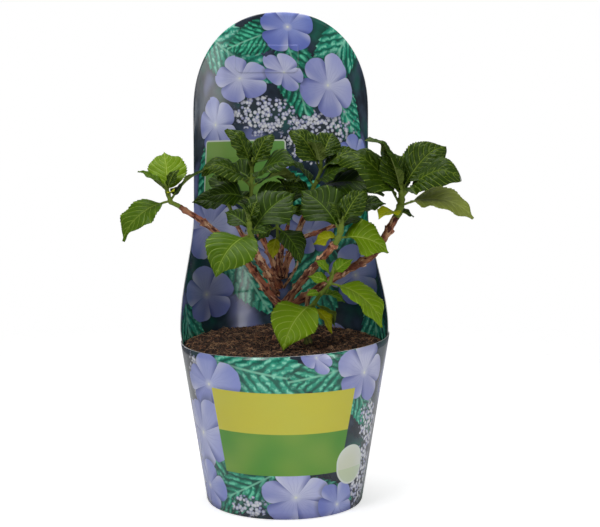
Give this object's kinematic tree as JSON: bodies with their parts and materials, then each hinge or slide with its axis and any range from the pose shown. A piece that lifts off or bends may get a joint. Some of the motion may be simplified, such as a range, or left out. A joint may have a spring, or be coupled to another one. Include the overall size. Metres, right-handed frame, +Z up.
{
  "type": "potted hydrangea shrub",
  "caption": "Young hydrangea shrub with knuckly branching stems and broad toothed leaves, in a nursery pot inside a flared display sleeve with a tall rounded back.",
  "frame": {"origin": "centre of the flat underside of the pot", "axes": "+Z up along the pot's axis, -Y towards the front of the sleeve, where the plant shows, +X to the right seen from the front"},
  "size_m": [0.3858, 0.255, 0.549],
  "materials": {
    "sleeve_print": "glossy printed film",
    "pot_plastic": "matte black moulded plastic",
    "peat": "rough moist fibrous peat",
    "bark": "reddish brown flaking bark",
    "green_bark": "smooth green young bark",
    "tan_bark": "dry tan bark",
    "leaf": "quilted leaf with a slight gloss"
  },
  "bodies": {
    "root": {"sleeve": "sleeve_print", "pot": "pot_plastic", "soil": "peat", "trunk": "bark", "bough_far_left": "bark", "bough_right": "bark", "bough_far_right": "bark", "bough_front_left": "bark", "bough_upper_right": "bark", "bough_upper_left": "bark", "bough_centre": "bark", "bough_back_left": "bark", "bough_back_right": "bark", "bough_back": "bark", "stem_low_right": "green_bark", "cut_stub": "tan_bark", "dead_twig": "tan_bark", "leaves_front_left": "leaf", "leaves_right": "leaf", "leaves_far_left": "leaf", "leaves_far_right": "leaf", "leaves_upper_left": "leaf", "leaves_upper_right": "leaf", "leaves_centre": "leaf", "leaves_low_right": "leaf", "leaves_back_left": "leaf", "leaves_back_right": "leaf", "leaves_back": "leaf"}
  },
  "joints": []
}
